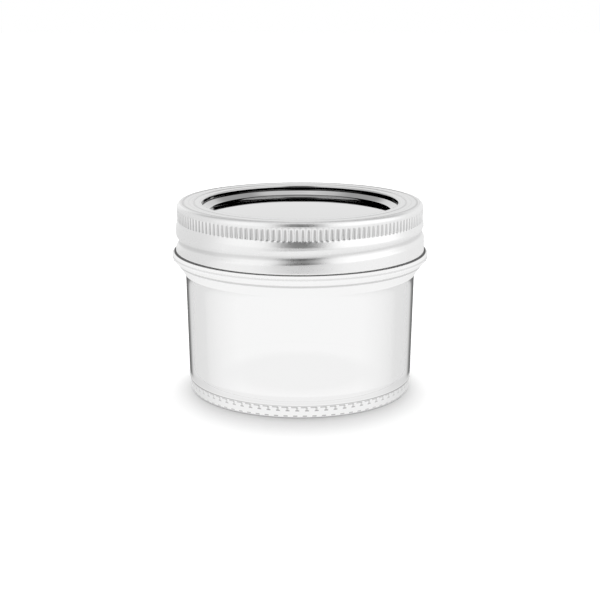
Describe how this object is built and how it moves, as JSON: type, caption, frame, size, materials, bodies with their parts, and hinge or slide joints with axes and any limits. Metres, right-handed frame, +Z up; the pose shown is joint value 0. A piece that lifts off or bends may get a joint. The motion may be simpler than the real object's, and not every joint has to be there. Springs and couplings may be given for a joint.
{
  "type": "wide-mouth jar",
  "caption": "Clear glass wide-mouth jar with a knurled metal screw band over a separate lid disc, for sourdough starter.",
  "frame": {"origin": "middle of the plane that the jar stands on", "axes": "+Z up along the jar's axis, towards the lid; -Y towards the picture's camera"},
  "size_m": [0.0914, 0.0914, 0.0681],
  "materials": {
    "clear_glass": "clear polished soda-lime glass",
    "satin_band_metal": "satin tin-plated sheet",
    "bright_lid_metal": "bright tin-plated sheet",
    "sealing_compound": "matt moulded compound"
  },
  "bodies": {
    "jar": {"glass_jar": "clear_glass"},
    "lid": {"lid_disc": "bright_lid_metal", "sealing_ring": "sealing_compound"},
    "band": {"screw_band": "satin_band_metal"}
  },
  "joints": [
    {"name": "lid_rise", "type": "slide", "parent": "jar", "child": "lid", "axis": [0, 0, 1], "range_m": [0, 0.0229]},
    {"name": "band_turn", "type": "hinge", "parent": "lid", "child": "band", "pos_m": [0, 0, 0.06], "axis": [0, 0, 1], "range_deg": [0, 1080]}
  ],
  "couplings": [
    {"joint": "lid_rise", "follows": "band_turn", "m_per_rad": 0.0012096}
  ]
}
